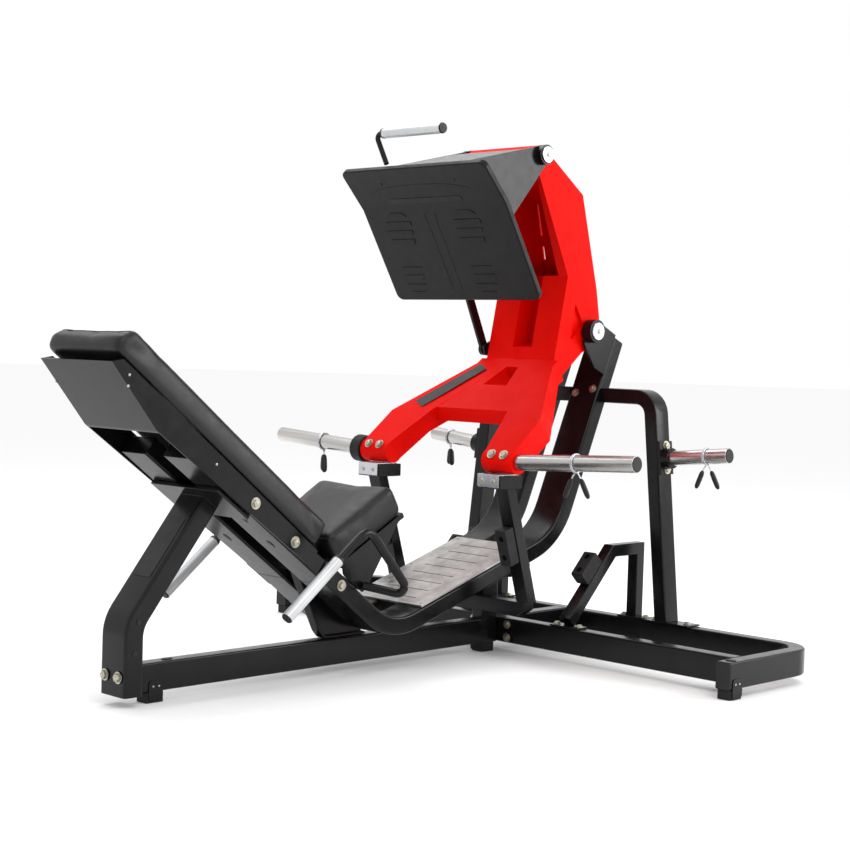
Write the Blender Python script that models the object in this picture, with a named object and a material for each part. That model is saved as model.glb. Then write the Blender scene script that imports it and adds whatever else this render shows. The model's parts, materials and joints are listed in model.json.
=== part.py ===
"""Plate-loaded leg press: frame, padded bench, swinging press arm, footplate and link.

Metres, +Z up, floor at Z = 0.  +X runs from the head of the bench towards the uprights,
+Y is the user's left.  Sketch points are given from the rear post's back face and moved
by MID, so the origin ends up under the middle of the machine.
"""
import math

import bmesh
import bpy
from mathutils import Matrix, Vector

for item in list(bpy.data.objects):
    bpy.data.objects.remove(item, do_unlink=True)

# ---------------------------------------------------------------- driving sizes
MID = 0.92634                  # rear post's back face to the middle of the machine
GAP = 0.0005                   # air between two touching pieces
FOOT_H = 0.030                 # rubber feet lift the base tubes
BASE_W, BASE_H = 0.050, 0.082  # base tubes
LOOP_Y = 0.9825                # centre of the two side tubes of the base loop
LOOP_X0, LOOP_X1 = 1.457, 1.914
RAIL_IN, RAIL_OUT, RAIL_T = 0.038, 0.158, 0.056
BACK_SLOPE = math.radians(-36.6)
SEAT_SLOPE = math.radians(29.0)
TREAD_SLOPE = math.radians(18.05)
HORN_R = 0.025                 # 50 mm weight horns
PIVOT = (1.800, 1.073)         # press arm's main axis
TOP = (1.530, 1.636)           # footplate's axis on the arm
LINK_D = (-0.155, -0.070)      # the link runs parallel to the arm, moved by this
SHAFT_R, BOSS_R = 0.0225, 0.0335
ARM_HALF = 0.150               # half the press arm's neck
BORE_GAP = 0.0003
ARM_HORN = ((1.260, 0.3370, 0.6553), (1.268, 0.784, 0.680))
STORE_HORN = ((1.9120, 0.4425, 0.6600), (1.9180, 0.660, 0.682))

BLACK = (0.012, 0.012, 0.014)
RED = (0.72, 0.008, 0.004)
VINYL = (0.018, 0.018, 0.021)
RUBBER = (0.016, 0.016, 0.016)
STEEL = (0.62, 0.62, 0.60)
CHROME = (0.72, 0.71, 0.69)
SILVER = (0.78, 0.79, 0.80)


# ---------------------------------------------------------------- small tools
def paint(name, colour, metallic, roughness):
    """One Principled material."""
    mat = bpy.data.materials.new(name)
    mat.use_nodes = True
    shader = mat.node_tree.nodes["Principled BSDF"]
    shader.inputs["Base Color"].default_value = (*colour, 1.0)
    shader.inputs["Metallic"].default_value = metallic
    shader.inputs["Roughness"].default_value = roughness
    return mat


LOOKS = {"paint": (BLACK, 0.0, 0.25), "red": (RED, 0.0, 0.4), "vinyl": (VINYL, 0.0, 0.45),
         "rubber": (RUBBER, 0.0, 0.7), "steel": (STEEL, 1.0, 0.35),
         "chrome": (CHROME, 1.0, 0.2), "silver": (SILVER, 1.0, 0.3)}


def solid(name, verts, faces, look=None, axis=None):
    """A mesh object from machine points; look None makes a hidden boolean tool."""
    origin = axis.location.copy() if axis else Vector((0, 0, 0))
    mesh = bpy.data.meshes.new(name)
    mesh.from_pydata([Vector((x - MID, y, z)) - origin for x, y, z in verts], [], faces)
    kit = bmesh.new()
    kit.from_mesh(mesh)
    bmesh.ops.remove_doubles(kit, verts=kit.verts, dist=0.00002)
    bmesh.ops.recalc_face_normals(kit, faces=kit.faces)
    kit.to_mesh(mesh)
    kit.free()
    obj = bpy.data.objects.new(name, mesh)
    bpy.context.scene.collection.objects.link(obj)
    if axis:
        obj.parent = axis
    if look:
        mesh.materials.append(paint(name, *LOOKS[look]))
    else:
        obj.hide_render = True
        obj.display_type = "WIRE"
    return obj


def join(target, tool, operation):
    """Fuse or cut a solid with a hidden tool by an exact boolean."""
    step = target.modifiers.new(tool.name, "BOOLEAN")
    step.operation = operation
    step.object = tool
    step.solver = "EXACT"
    return target


def axis_empty(name, x, z, parent=None):
    """An empty on a hinge axis that carries the pieces turning about it."""
    empty = bpy.data.objects.new(name, None)
    bpy.context.scene.collection.objects.link(empty)
    empty.location = (x - MID, 0.0, z)
    return empty


def rounded(points, radius, steps=4, closed=True):
    """Round the corners of an outline; radius is one number or one per corner."""
    points = [Vector(p) for p in points]
    count = len(points)
    radii = radius if isinstance(radius, (list, tuple)) else [radius] * count
    result = []
    for i, (corner, r) in enumerate(zip(points, radii)):
        if r <= 0 or (not closed and i in (0, count - 1)):
            result.append(corner)
            continue
        back = (points[i - 1] - corner).normalized()
        ahead = (points[(i + 1) % count] - corner).normalized()
        half = back.angle(ahead) / 2
        reach = r / math.tan(half)
        centre = corner + (back + ahead).normalized() * (r / math.sin(half))
        first = corner + back * reach - centre
        last = corner + ahead * reach - centre
        for k in range(steps + 1):
            mix = first.lerp(last, k / steps)
            turn = first.angle(last) * k / steps
            mix = (first * math.sin(first.angle(last) - turn) + last * math.sin(turn))
            result.append(centre + mix / math.sin(first.angle(last)))
    return result


def ring_faces(rings, size):
    """Side and end faces for a stack of equal closed sections."""
    faces = []
    for k in range(rings - 1):
        for i in range(size):
            j = (i + 1) % size
            faces.append((k * size + i, k * size + j, (k + 1) * size + j, (k + 1) * size + i))
    faces.append(tuple(range(size)))
    faces.append(tuple(range((rings - 1) * size, rings * size)))
    return faces


def stack(name, sections, look=None, axis=None):
    """A solid through closed sections that have the same number of points."""
    verts = [tuple(p) for section in sections for p in section]
    return solid(name, verts, ring_faces(len(sections), len(sections[0])), look, axis)


def side_prism(name, outline, y0, y1, look=None, axis=None):
    """An X-Z outline stretched along Y."""
    return stack(name, [[(p[0], y, p[1]) for p in outline] for y in (y0, y1)], look, axis)


def flat_prism(name, outline, z0, z1, look=None, axis=None):
    """An X-Y outline stretched along Z."""
    return stack(name, [[(p[0], p[1], z) for p in outline] for z in (z0, z1)], look, axis)


def block(name, xs, ys, zs, look=None, axis=None, edge=0.0):
    """A box, its four long edges rounded across Y when edge is set."""
    outline = [(xs[0], zs[0]), (xs[1], zs[0]), (xs[1], zs[1]), (xs[0], zs[1])]
    if edge:
        outline = rounded(outline, edge, 2)
    return side_prism(name, outline, ys[0], ys[1], look, axis)


def circle(radius, count=32):
    """Points of a circle in its own plane."""
    return [(radius * math.cos(2 * math.pi * k / count),
             radius * math.sin(2 * math.pi * k / count)) for k in range(count)]


def box_section(half_a, half_b, radius=0.006, steps=2):
    """A tube's rounded rectangle."""
    corners = [(-half_a, -half_b), (half_a, -half_b), (half_a, half_b), (-half_a, half_b)]
    return [tuple(p) for p in rounded(corners, radius, steps)]


def sweep(name, path, section, side, look=None, axis=None):
    """Carry a section along a path that lies square to the side vector."""
    path = [Vector(p) for p in path]
    side = Vector(side).normalized()
    rings = []
    for i, point in enumerate(path):
        before = (point - path[i - 1]).normalized() if i else None
        after = (path[i + 1] - point).normalized() if i + 1 < len(path) else None
        tangent = ((before or after) + (after or before)).normalized()
        stretch = 1.0
        if before and after:
            stretch = 1.0 / max(0.2, math.cos(before.angle(after) / 2))
        normal = tangent.cross(side).normalized()
        rings.append([point + side * a + normal * b * stretch for a, b in section])
    return stack(name, rings, look, axis)


def rod(name, start, end, radius, look=None, axis=None, count=32):
    """A round bar between two points."""
    start, end = Vector(start), Vector(end)
    along = (end - start).normalized()
    side = Vector((1, 0, 0)) if abs(along.x) < 0.8 else Vector((0, 1, 0))
    side = (side - along * side.dot(along)).normalized()
    return sweep(name, [start, end], circle(radius, count), side, look, axis)


def cross_rod(name, centre, ys, radius, look=None, axis=None, count=32):
    """A round bar along Y."""
    return rod(name, (centre[0], ys[0], centre[1]), (centre[0], ys[1], centre[1]),
               radius, look, axis, count)


def tilted(origin, slope, s, t):
    """A point s along a slope and t square to it, in the X-Z plane."""
    return (origin[0] + s * math.cos(slope) - t * math.sin(slope),
            origin[1] + s * math.sin(slope) + t * math.cos(slope))


def padded(name, outline, half_width, puff, look):
    """A cushion: an outline stretched across, with soft edges."""
    obj = side_prism(name, outline, -half_width, half_width, look)
    soft = obj.modifiers.new("soft_edge", "BEVEL")
    soft.width = puff
    soft.segments = 3
    soft.limit_method = "ANGLE"
    soft.angle_limit = math.radians(40)
    return obj


SIDES = {"left": 1.0, "right": -1.0}

# ---------------------------------------------------------------- base frame
base_top = FOOT_H + BASE_H
base_mid = FOOT_H + BASE_H / 2
upright_section = box_section(BASE_W / 2, BASE_H / 2)

sweep("base_beam", [(0.0665, 0, base_mid), (1.4595, 0, base_mid)], upright_section,
      (0, 1, 0), "paint")
sweep("crossbar", [(1.561, -0.9565, base_mid), (1.561, 0.9565, base_mid)],
      box_section(0.026, BASE_H / 2), (1, 0, 0), "paint")
sweep("centre_tube", [(1.5875, 0, base_mid), (1.8875, 0, base_mid)], upright_section,
      (0, 1, 0), "paint")
loop = rounded([(LOOP_X0, -LOOP_Y, base_mid), (LOOP_X1, -LOOP_Y, base_mid),
                (LOOP_X1, LOOP_Y, base_mid), (LOOP_X0, LOOP_Y, base_mid)],
               0.095, 8, closed=False)
sweep("loop_tube", loop, box_section(BASE_H / 2, 0.0255), (0, 0, 1), "paint")

post_path = rounded([(0.034, 0, FOOT_H), (0.034, 0, 0.225), (0.2845, 0, 0.5505)],
                    0.105, 6, closed=False)
rear_post = sweep("rear_post", post_path, box_section(0.057, 0.0315, 0.010), (0, 1, 0), "paint")
flange_at = (0.2845, 0.5505)
flange = [tilted(flange_at, BACK_SLOPE, s, t)
          for s, t in ((-0.070, -0.0030), (0.070, -0.0030), (0.070, 0.0090), (-0.070, 0.0090))]
join(rear_post, side_prism("add_post_flange", flange, -0.1500, 0.1500), "UNION")

hub_post = sweep("hub_post", [(1.4965, 0, FOOT_H), (1.4965, 0, 0.2800)],
                 box_section(0.025, 0.0365), (0, 1, 0), "paint")
under = tilted((1.511, 0.326), TREAD_SLOPE, 0.0, -RAIL_T / 2 - GAP)
saddle = [tilted(under, TREAD_SLOPE, s, t)
          for s, t in ((-0.075, -0.012), (0.024, -0.012), (0.024, 0.0), (-0.075, 0.0))]
join(hub_post, side_prism("add_saddle", saddle, -0.150, 0.150), "UNION")

cross_y = 0.295
cross = [(-cross_y, 0.206), (-cross_y, 0.160 + 0.022), (-0.262, 0.160), (0.262, 0.160),
         (cross_y, 0.182), (cross_y, 0.206)]
stack("cross_member", [[(x, y, z) for y, z in cross] for x in (1.3545, 1.3985)], "paint")

feet = {"rear": (0.130, 0.0, 0.030), "hub": (1.4925, 0.0, 0.030)}
for side, way in SIDES.items():
    feet["loop_" + side] = (1.490, way * LOOP_Y, 0.030)
    feet["far_" + side] = (LOOP_X1, way * 0.320, 0.027)
for place, (x, y, half) in feet.items():
    rubber = rounded([(x - half, y - 0.0245), (x + half, y - 0.0245),
                      (x + half, y + 0.0245), (x - half, y + 0.0245)], 0.006, 2)
    flat_prism("foot_" + place, rubber, 0.0, FOOT_H - GAP, "rubber")

# ---------------------------------------------------------------- rails and uprights
rail_y = (RAIL_IN + RAIL_OUT) / 2
rail_section = box_section((RAIL_OUT - RAIL_IN) / 2, RAIL_T / 2, 0.008, 3)
joint_x, joint_z = 0.655, 0.3229
for side, way in SIDES.items():
    y = way * rail_y
    low = tilted((joint_x, joint_z), BACK_SLOPE, GAP / 2, 0.0)
    path = rounded([(low[0], y, low[1]), (0.9132, y, 0.1312), (1.6769, y, 0.3801),
                    (1.9650, y, 1.0430)], [0, 0.200, 0.250, 0], 8, closed=False)
    sweep("main_rail_" + side, path, rail_section, (0, 1, 0), "paint")
    high = tilted((joint_x, joint_z), BACK_SLOPE, -GAP / 2, 0.0)
    head = tilted((joint_x, joint_z), BACK_SLOPE, -0.640, 0.0)
    sweep("back_rail_" + side, [(head[0], y, head[1]), (high[0], y, high[1])],
          rail_section, (0, 1, 0), "paint")

block("upright_tie", (1.8560, 1.9060), (-0.0375, 0.0375), (0.8330, 0.8820), "paint", edge=0.004)

# ---------------------------------------------------------------- bench
pan_low = [(-0.138, 0.9400), (0.009, 0.7600), (0.5740, 0.3540)]
pan_high = [(0.5910, 0.4060), (-0.1010, 0.9460)]
pan = side_prism("back_pan", pan_low + pan_high, -0.1640, 0.1640, "paint")
hollow = [(-0.1310, 0.9410), (0.0140, 0.7630), (0.0660, 0.6600), (0.6200, 0.2700),
          (0.6600, 0.4200), (-0.1000, 1.0100)]
join(pan, side_prism("cut_pan", hollow, -0.1600, 0.1600), "DIFFERENCE")

back_line = (-0.1010, 0.9470)
back_slope = math.atan2(0.4060 - 0.9460, 0.5910 + 0.1010)
rest = [tilted(back_line, back_slope, s, t)
        for s, t in ((-0.030, 0.002), (0.872, 0.002), (0.872, 0.094), (-0.020, 0.094),
                     (-0.042, 0.045))]
padded("backrest_cushion", rest, 0.165, 0.018, "vinyl")

seat_line = (0.7040, 0.3640)
seat = [tilted(seat_line, SEAT_SLOPE, s, t)
        for s, t in ((-0.028, 0.0045), (0.276, 0.0045), (0.276, 0.112), (-0.028, 0.112))]
padded("seat_cushion", seat, 0.165, 0.022, "vinyl")

board = [tilted(seat_line, SEAT_SLOPE, s, t)
         for s, t in ((-0.015, -0.012), (0.272, -0.012), (0.272, 0.0035), (-0.015, 0.0035))]
seat_frame = side_prism("seat_frame", board, -0.1560, 0.1560, "paint")
gusset = [(0.7000, 0.3580), (0.7060, 0.3270), (0.7830, 0.2700), (0.8010, 0.2820),
          (0.9350, 0.4880)]
for side, way in SIDES.items():
    plate = side_prism("add_gusset_" + side, gusset, way * 0.1490, way * 0.1555)
    join(seat_frame, plate, "UNION")

web = [(0.6500, 0.3200), (0.6700, 0.2820), (0.7350, 0.1500), (0.7650, 0.1180),
       (0.9300, 0.1180), (0.9000, 0.1500), (0.8200, 0.2200)]
support = side_prism("bench_support", web, -0.0050, 0.0050, "paint")
rim = rounded([(0.6500, 0.0, 0.3220), (0.7420, 0.0, 0.1400), (0.7620, 0.0, 0.1170),
               (0.9300, 0.0, 0.1170)], [0, 0.02, 0.02, 0], 3, closed=False)
join(support, sweep("add_support_rim", rim, box_section(0.0180, 0.0040, 0.003), (0, 1, 0)),
     "UNION")
tie = [tilted((joint_x, joint_z), BACK_SLOPE, s, t)
       for s, t in ((0.000, -0.006), (0.160, -0.006), (0.160, 0.004), (0.000, 0.004))]
join(support, side_prism("add_support_tie", tie, -0.0370, 0.0370), "UNION")

tread_top = (1.0, 0.1595 + RAIL_T / 2 / math.cos(TREAD_SLOPE))
tread = [tilted(tread_top, TREAD_SLOPE, s, t)
         for s, t in ((0.040, GAP), (0.545, GAP), (0.545, 0.0065), (0.040, 0.0065))]
side_prism("tread_plate", tread, -0.1540, 0.1540, "steel")

for side, way in SIDES.items():
    grip_low, grip_high = (0.382, way * 0.2770, 0.2440), (0.566, way * 0.2790, 0.3910)
    rod("handle_grip_" + side, grip_low, grip_high, 0.0170, "silver", count=24)
    bend = rounded([(0.5688, way * 0.2790, 0.3932), (0.6810, way * 0.2790, 0.4780),
                    (0.8330, way * 0.2790, 0.3060), (0.8330, way * 0.2790, 0.2720),
                    (0.7800, way * 0.1640, 0.2905)], [0, 0.040, 0.02, 0.022, 0],
                   5, closed=False)
    points = [Vector(p) for p in bend]
    rings = []
    for i, point in enumerate(points):
        ahead = points[min(i + 1, len(points) - 1)] - points[max(i - 1, 0)]
        frame = ahead.to_track_quat("Z", "Y").to_matrix()
        rings.append([point + frame @ Vector((a, b, 0)) for a, b in circle(0.0130, 12)])
    stack("seat_handle_" + side, rings, "paint")

# ---------------------------------------------------------------- stops and bumpers
for side, way in SIDES.items():
    top_x, foot_x, z_top, z_foot = 1.2590, 1.3765, 0.5740, 0.2065
    outline = [(top_x - 0.020, z_top), (top_x + 0.020, z_top),
               (foot_x + 0.020, z_foot), (foot_x - 0.020, z_foot)]
    stop_post = side_prism("stop_post_" + side, outline, way * 0.2600, way * 0.3100, "paint")
    join(stop_post, block("add_stop_head_" + side, (1.1990, 1.3020),
                          (way * 0.2200, way * 0.3160), (0.5720, 0.6130), edge=0.003), "UNION")
    angle = [(1.1955, 0.5760), (1.1985, 0.5760), (1.1985, 0.6135), (1.2900, 0.6135),
             (1.2900, 0.6165), (1.1955, 0.6165)]
    side_prism("stop_plate_" + side, angle, way * 0.2240, way * 0.3120, "steel")
    lean = math.atan2(z_top - z_foot, top_x - foot_x)
    pad = [tilted((foot_x - 0.020, z_foot), lean, s, t)
           for s, t in ((0.140, 0.0010), (0.258, 0.0010), (0.258, 0.0420), (0.140, 0.0420))]
    side_prism("stop_rubber_" + side, pad, way * 0.2630, way * 0.3070, "rubber")

    leg = [(1.5600, way * 0.303, base_top + 0.0165), (1.7720, way * 0.303, 0.3480),
           (1.9150, way * 0.303, 0.3480), (1.9150, way * 0.303, base_top + 0.0040)]
    bumper = sweep("bumper_frame_" + side, leg, box_section(0.020, 0.020, 0.003), (0, 1, 0),
                   "paint")
    for end, xs in {"near": (1.5360, 1.5860), "far": (1.8890, 1.9390)}.items():
        join(bumper, block("add_bumper_foot_" + end + side, xs, (way * 0.2500, way * 0.3660),
                           (base_top + GAP, base_top + 0.0060)), "UNION")
    slope = math.atan2(0.3480 - base_top - 0.0165, 1.7720 - 1.5600)
    rubber = [tilted((1.5600, base_top + 0.0165), slope, s, t)
              for s, t in ((0.138, 0.0210), (0.238, 0.0210), (0.238, 0.0740), (0.138, 0.0740))]
    side_prism("bumper_block_" + side, rounded(rubber, 0.006, 2), way * 0.2750,
               way * 0.3220, "rubber")

# ---------------------------------------------------------------- weight storage
for side, way in SIDES.items():
    path = rounded([(1.9120, way * 0.4395, base_top + 0.0040), (1.9120, way * 0.3616, 0.8575),
                    (1.9120, way * 0.1590, 0.8575)], 0.060, 6, closed=False)
    tower = sweep("storage_post_" + side, path, box_section(0.0360, 0.0250), (1, 0, 0), "paint")
    join(tower, block("add_storage_foot_" + side, (1.8780, 1.9460),
                      (way * 0.3700, way * 0.5500), (base_top + GAP, base_top + 0.0060)),
         "UNION")
    start, end = [Vector((p[0], way * p[1], p[2])) for p in STORE_HORN]
    along = (end - start).normalized()
    face = Vector((1.9120, way * 0.4075, 0.6600))
    flange_store = [face + Vector((a, 0, b)) for a, b in
                    ((-0.034, -0.055), (0.034, -0.055), (0.034, 0.055), (-0.034, 0.055))]
    plate = stack("add_storage_flange_" + side,
                  [[p + Vector((0, way * out - way * 0.104 * (p.z - 0.66), 0))
                    for p in flange_store] for out in (-0.0040, 0.0085)])
    join(tower, plate, "UNION")
    boss = rod("add_boss_" + side, start - along * 0.0330, start - along * GAP, 0.034)
    join(tower, boss, "UNION")
    rod("storage_horn_" + side, start, end, HORN_R, "chrome")

# ---------------------------------------------------------------- pivot brackets
upright = [(1.8610, 1.0980), (1.9360, 1.0640), (1.8790, 0.9270), (1.8260, 0.9500),
           (1.7640, 1.0350)]
for side, way in SIDES.items():
    y0, y1 = way * (RAIL_OUT + GAP), way * (RAIL_OUT + GAP + 0.008)
    bracket = side_prism("pivot_bracket_" + side, upright, y0, y1, "paint")
    join(bracket, cross_rod("add_pivot_boss_" + side, PIVOT, (y0, way * 0.1960), BOSS_R + 0.006),
         "UNION")
    if side == "left":
        low_pin = (PIVOT[0] + LINK_D[0], PIVOT[1] + LINK_D[1])
        arm = [(1.8250, 1.1020), (1.8300, 0.9700), (low_pin[0] - 0.012, low_pin[1] - 0.022),
               (low_pin[0] - 0.022, low_pin[1] + 0.012)]
        join(bracket, side_prism("add_link_arm", rounded(arm, 0.006, 2), y0 + 0.00002,
                                 y1 - 0.00002), "UNION")
        join(bracket, cross_rod("add_low_pin", low_pin, (y0 + 0.001, 0.1900), 0.0100,
                                count=20), "UNION")
    join(bracket, cross_rod("cut_pivot_" + side, PIVOT, (way * 0.140, way * 0.220),
                            SHAFT_R + BORE_GAP), "DIFFERENCE")
cross_rod("main_shaft", PIVOT, (-0.1980, 0.1980), SHAFT_R, "silver")

# ---------------------------------------------------------------- press arm
arm_axis = axis_empty("arm_axis", *PIVOT)
outline = [(1.4990, 1.6280), (1.5050, 1.6540), (1.5220, 1.6670), (1.5420, 1.6660),
           (1.7900, 1.5300), (1.8600, 1.2150), (1.8700, 1.1200), (1.8560, 1.0450),
           (1.8250, 1.0220), (1.7750, 1.0000), (1.6570, 0.9050), (1.6320, 0.9700),
           (1.6900, 1.2520)]
press = side_prism("press_arm", outline, -ARM_HALF, ARM_HALF, "red", arm_axis)
mouth = [(1.5000, -0.1380, 1.2450), (1.5000, 0.1380, 1.2450), (1.5000, 0.1380, 1.5950),
         (1.5000, -0.1380, 1.5950)]
floor = [(1.8440, -0.0850, 1.2620), (1.8440, 0.0850, 1.2620), (1.7790, 0.0850, 1.5180),
         (1.7790, -0.0850, 1.5180)]
join(press, stack("cut_recess", [mouth, floor], axis=arm_axis), "DIFFERENCE")
for side, way in SIDES.items():
    ridge = [(1.5450, 1.6621), (1.8600, 1.0734)]
    wedge = [[(x, way * 0.1500, z), (x + 0.2646, way * 0.0915, z + 0.1416),
              (x + 0.2646, way * 0.2000, z + 0.1416), (x, way * 0.2000, z)] for x, z in ridge]
    join(press, stack("cut_facet_" + side, wedge, axis=arm_axis), "DIFFERENCE")
    for z0, z1 in ((1.3200, 1.3640), (1.4000, 1.5060)):
        slot = block("cut_slot_{}_{:.0f}".format(side, z0 * 100), (1.7600, 1.9000),
                     (way * 0.0700, way * 0.0780), (z0, z1), axis=arm_axis)
        join(press, slot, "DIFFERENCE")
groove = [(1.5500, 0.9950), (1.7300, 1.0300), (1.7600, 1.2800), (1.5500, 1.2800)]
join(press, side_prism("cut_groove", groove, -0.0420, 0.0420, axis=arm_axis), "DIFFERENCE")

web = [(1.6300, 0.9710), (1.4000, 0.8050), (1.4100, 0.7600), (1.6600, 0.9060)]
join(press, side_prism("add_web", web, -0.1700, 0.1700, axis=arm_axis), "UNION")
for side, way in SIDES.items():
    sections = [
        [(1.634, 0.020, 0.9740), (1.634, 0.1490, 0.9740), (1.662, 0.1490, 0.9040),
         (1.662, 0.020, 0.9040)],
        [(1.386, 0.165, 0.7960), (1.362, 0.3300, 0.7870), (1.430, 0.3150, 0.7180),
         (1.402, 0.190, 0.7200)],
        [(1.238, 0.2140, 0.6850), (1.238, 0.3340, 0.6850), (1.284, 0.3340, 0.6270),
         (1.284, 0.2140, 0.6270)]]
    leg = [[(x, way * y, z) for x, y, z in section] for section in sections]
    join(press, stack("add_leg_" + side, leg, axis=arm_axis), "UNION")
    socket = cross_rod("add_socket_" + side, (1.2600, 0.6550), (way * 0.2130, way * 0.3350),
                       0.0380, axis=arm_axis)
    join(press, socket, "UNION")
    start, end = [Vector((p[0], way * p[1], p[2])) for p in ARM_HORN]
    rod("arm_horn_" + side, start, end, HORN_R, "chrome", arm_axis)
vent = [[(1.5950, 0.0260), (1.5950, -0.0260), (1.5100, -0.0520), (1.5100, 0.0520)]] * 2
vent = [[(x + dx, y, 0.971 + 0.7217 * (x - 1.63) + dz) for x, y in vent[0]]
        for dx, dz in ((-0.040, 0.055), (0.060, -0.083))]
join(press, stack("cut_web_vent", vent, axis=arm_axis), "DIFFERENCE")
window = [(1.7340, 1.1620), (1.7820, 1.0900), (1.7140, 1.0420)]
for side, way in SIDES.items():
    join(press, side_prism("cut_window_" + side, window, way * 0.1400, way * 0.1600,
                           axis=arm_axis), "DIFFERENCE")
join(press, cross_rod("cut_arm_bore", PIVOT, (-0.160, 0.160), SHAFT_R + BORE_GAP,
                      axis=arm_axis), "DIFFERENCE")
join(press, cross_rod("cut_top_bore", TOP, (-0.160, 0.160), SHAFT_R - 0.002 + BORE_GAP,
                      axis=arm_axis), "DIFFERENCE")

start, end = [Vector(p) for p in ARM_HORN]
along = (end - start).normalized()
stop_ring = rod("horn_buffer", start + along * 0.0005, start + along * 0.0450, 0.0450,
                "rubber", arm_axis)
join(stop_ring, rod("cut_buffer", start - along * 0.02, start + along * 0.07,
                    HORN_R + BORE_GAP, axis=arm_axis), "DIFFERENCE")

# ---------------------------------------------------------------- spring collars
COLLARS = {"arm_left": (ARM_HORN, 1.0, 0.56), "arm_right": (ARM_HORN, -1.0, 0.56),
           "store_left": (STORE_HORN, 1.0, 0.575), "store_right": (STORE_HORN, -1.0, 0.575)}
for place, (horn, way, at) in COLLARS.items():
    start, end = [Vector((p[0], way * p[1], p[2])) for p in horn]
    along = (end - start).normalized()
    centre = start + along * ((at - horn[0][1]) / abs(along.y))
    home = bpy.data.objects.new("axis_collar_" + place, None)
    bpy.context.scene.collection.objects.link(home)
    home.location = centre - Vector((MID, 0, 0))
    ring = rod("spring_collar_" + place, centre - along * 0.0075, centre + along * 0.0075,
               HORN_R + 0.0060, "chrome", home)
    for wing, (dx, lean) in {"a": (-0.010, -0.020), "b": (0.014, 0.024)}.items():
        top = centre + Vector((dx * 0.4, way * lean * 0.15, -0.026))
        low = centre + Vector((dx * 1.9, way * lean * 1.3, -0.105))
        mid = top.lerp(low, 0.42)
        join(ring, rod("add_wire_" + place + wing, top, low, 0.0026, axis=home, count=8),
             "UNION")
        join(ring, rod("add_thumb_" + place + wing, mid, low, 0.0080, axis=home, count=12),
             "UNION")
    join(ring, rod("cut_collar_" + place, centre - along * 0.05, centre + along * 0.05,
                   HORN_R + 0.0004, axis=home), "DIFFERENCE")

# ---------------------------------------------------------------- footplate and carriage
plate_axis = axis_empty("plate_axis", *TOP)
face = [(1.0750, 1.5590), (1.1840, 1.4450), (1.3620, 1.1580)]
back = [(1.3790, 1.1685), (1.2015, 1.4557), (1.0895, 1.5729)]
foot = side_prism("footplate", face + back, -0.3150, 0.3150, "rubber", plate_axis)

cheek = [(1.0985, 1.5648), (1.2020, 1.4570), (1.2920, 1.3120), (1.5560, 1.6160),
         (1.5300, 1.6680)]
carriage = side_prism("carriage", cheek, 0.1520, 0.1600, "paint", plate_axis)
join(carriage, side_prism("add_cheek", cheek, -0.1600, -0.1520, axis=plate_axis), "UNION")
roof = [(1.1000, 1.5650), (1.1040, 1.5605), (1.4400, 1.6415), (1.4400, 1.6460)]
join(carriage, side_prism("add_roof", roof, -0.1560, 0.1560, axis=plate_axis), "UNION")
spine = [(1.2030, 1.4575), (1.2920, 1.3125), (1.2960, 1.3165), (1.2080, 1.4600)]
join(carriage, side_prism("add_spine", spine, -0.1560, 0.1560, axis=plate_axis), "UNION")
for side, way in SIDES.items():
    join(carriage, cross_rod("add_hub_" + side, TOP, (way * 0.1520, way * 0.1790), 0.0325,
                             axis=plate_axis), "UNION")
join(carriage, cross_rod("cut_hub", TOP, (-0.200, 0.200), SHAFT_R - 0.002 + BORE_GAP,
                         axis=plate_axis), "DIFFERENCE")
high_pin = (TOP[0] + LINK_D[0], TOP[1] + LINK_D[1])
join(carriage, cross_rod("add_high_pin", high_pin, (0.1550, 0.1900), 0.0100,
                         axis=plate_axis, count=20), "UNION")
cross_rod("top_shaft", TOP, (-0.1810, 0.1810), SHAFT_R - 0.002, "silver", arm_axis)

hand = [(1.0980, 0.1210, 1.5790), (1.0980, 0.1740, 1.6770), (1.0980, 0.1355, 1.6770)]
soft_hand = rounded(hand, [0, 0.014, 0], 4, closed=False)
sweep("footplate_handle", soft_hand, circle(0.0085, 12), (1, 0, 0), "paint", plate_axis)
cross_rod("footplate_grip", (1.0980, 1.6770), (-0.1200, 0.1350), 0.0165, "silver",
          plate_axis, 24)

# ---------------------------------------------------------------- link
low_pin = (PIVOT[0] + LINK_D[0], PIVOT[1] + LINK_D[1])
link_axis = axis_empty("link_axis", *low_pin)
run = math.hypot(high_pin[0] - low_pin[0], high_pin[1] - low_pin[1])
tilt = math.atan2(high_pin[1] - low_pin[1], high_pin[0] - low_pin[0])
bar = [tilted(low_pin, tilt, s, t)
       for s, t in ((0.0, -0.016), (run, -0.016), (run, 0.016), (0.0, 0.016))]
link = side_prism("link_rod", bar, 0.1710, 0.1810, "paint", link_axis)
for name, pin in {"low": low_pin, "high": high_pin}.items():
    join(link, cross_rod("add_eye_" + name, pin, (0.1700, 0.1830), 0.0220, axis=link_axis,
                         count=24), "UNION")
    join(link, cross_rod("cut_eye_" + name, pin, (0.160, 0.200), 0.0100 + BORE_GAP,
                         axis=link_axis, count=20), "DIFFERENCE")
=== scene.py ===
# %% [markdown]
# # A plate-loaded leg press
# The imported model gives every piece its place. This lesson gives the pieces their looks: it
# softens the welded steel, stitches the cushions, fits the bolts and lights the room.

# %% Load the frame
import json
import math

import bmesh
import bpy
from mathutils import Matrix, Vector
from mathutils.bvhtree import BVHTree

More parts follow.
